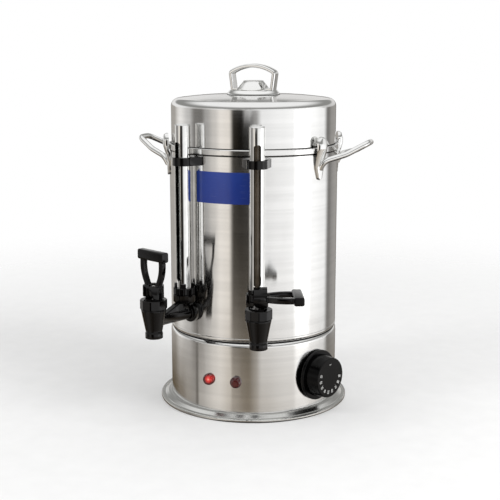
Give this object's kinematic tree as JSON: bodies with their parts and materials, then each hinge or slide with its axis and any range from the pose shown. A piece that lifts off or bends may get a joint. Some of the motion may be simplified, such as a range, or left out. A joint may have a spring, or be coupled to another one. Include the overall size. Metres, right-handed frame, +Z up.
{
  "type": "tea urn",
  "caption": "Electric tea urn: steel tank on a round base, deep lid, lift-out brew pot, lift taps with gauge tubes, side handles and a thermostat knob.",
  "frame": {"origin": "centre of the base ring's rest face, on the tank's axis", "axes": "+Z up along the tank's axis, -Y to the front, midway between the two taps"},
  "size_m": [0.3018, 0.2765, 0.4085],
  "materials": {
    "satin_steel": "satin stainless sheet, brushed round the axis",
    "bright_steel": "bright polished steel",
    "plain_steel": "plain stainless fittings",
    "heater_sheath": "oxidised heater sheath",
    "black_plastic": "moulded black plastic, half gloss",
    "seal_rubber": "silicone rubber",
    "gauge_glass": "clear glass tube",
    "red_lens": "clear red lens",
    "dark_lens": "dark lens, unlit",
    "terminal_white": "white ceramic-like block",
    "label_blue": "blue printed foil plate, left bare"
  },
  "bodies": {
    "urn": {"base_shell": "satin_steel", "base_ring": "bright_steel", "bottom_cover": "plain_steel", "cover_screws": "plain_steel", "tank_shell": "satin_steel", "tank_rim": "bright_steel", "tank_floor": "satin_steel", "heating_element": "heater_sheath", "heater_seals": "seal_rubber", "heater_nuts": "plain_steel", "thermostat_body": "black_plastic", "thermostat_bulb": "plain_steel", "lamp_lens_red": "red_lens", "lamp_lens_dark": "dark_lens", "lamp_holders": "black_plastic", "terminal_block": "terminal_white", "cable_gland": "black_plastic", "label_plate": "label_blue", "side_handle_left": "bright_steel", "side_handle_right": "bright_steel", "tea_outlet_socket": "plain_steel", "left_tap_nut": "plain_steel", "left_tap_seals": "seal_rubber", "left_tap_body": "black_plastic", "left_tap_bonnet": "black_plastic", "left_gauge_socket": "black_plastic", "left_gauge_glass": "gauge_glass", "left_gauge_shield": "bright_steel", "left_gauge_seals": "seal_rubber", "left_gauge_clip": "black_plastic", "right_tap_nut": "plain_steel", "right_tap_seals": "seal_rubber", "right_tap_body": "black_plastic", "right_tap_bonnet": "black_plastic", "right_gauge_socket": "black_plastic", "right_gauge_glass": "gauge_glass", "right_gauge_shield": "bright_steel", "right_gauge_seals": "seal_rubber", "right_gauge_clip": "black_plastic"},
    "brew_pot": {"brew_pot": "bright_steel", "tea_strainer": "bright_steel"},
    "lid": {"lid_shell": "satin_steel", "lid_handle_plate": "bright_steel", "lid_handle_strap": "bright_steel", "lid_screws": "plain_steel"},
    "knob": {"thermostat_knob": "black_plastic", "thermostat_shaft": "plain_steel"},
    "left_turret": {"left_tap_washer": "plain_steel", "left_tap_spring": "plain_steel"},
    "left_stem": {"left_tap_stem": "plain_steel", "left_tap_seat": "seal_rubber", "left_tap_pin": "plain_steel"},
    "left_handle": {"left_tap_handle": "black_plastic"},
    "right_turret": {"right_tap_washer": "plain_steel", "right_tap_spring": "plain_steel"},
    "right_stem": {"right_tap_stem": "plain_steel", "right_tap_seat": "seal_rubber", "right_tap_pin": "plain_steel"},
    "right_handle": {"right_tap_handle": "black_plastic"}
  },
  "joints": [
    {"name": "pot_lift", "type": "slide", "parent": "urn", "child": "brew_pot", "axis": [0, 0, 1], "range_m": [0, 0.2]},
    {"name": "lid_lift", "type": "slide", "parent": "brew_pot", "child": "lid", "axis": [0, 0, 1], "range_m": [0, 0.12]},
    {"name": "thermostat_turn", "type": "hinge", "parent": "urn", "child": "knob", "pos_m": [0.09351, -0.03683, 0.0445], "axis": [0.9304, -0.3665, 0], "range_deg": [-270, 0]},
    {"name": "left_tap_swivel", "type": "hinge", "parent": "urn", "child": "left_turret", "pos_m": [-0.06271, -0.14774, 0.148], "axis": [0, 0, 1], "range_deg": [-90, 90]},
    {"name": "left_tap_lift", "type": "slide", "parent": "left_turret", "child": "left_stem", "axis": [0, 0, 1], "range_m": [0, 0.005], "deforming": ["left_tap_spring"]},
    {"name": "left_tap_tilt", "type": "hinge", "parent": "left_stem", "child": "left_handle", "pos_m": [-0.06271, -0.14774, 0.1538], "axis": [0.9205, -0.3907, 0], "range_deg": [0, 90]},
    {"name": "right_tap_swivel", "type": "hinge", "parent": "urn", "child": "right_turret", "pos_m": [0.06271, -0.14774, 0.148], "axis": [0, 0, 1], "range_deg": [-180, 0]},
    {"name": "right_tap_lift", "type": "slide", "parent": "right_turret", "child": "right_stem", "axis": [0, 0, 1], "range_m": [-0.005, 0], "deforming": ["right_tap_spring"]},
    {"name": "right_tap_tilt", "type": "hinge", "parent": "right_stem", "child": "right_handle", "pos_m": [0.06271, -0.14774, 0.1588], "axis": [-0.3907, 0.9205, 0], "range_deg": [-90, 0]}
  ],
  "couplings": [
    {"joint": "left_tap_lift", "follows": "left_tap_tilt", "m_per_rad": 0.003183},
    {"joint": "right_tap_lift", "follows": "right_tap_tilt", "m_per_rad": 0.003183}
  ]
}
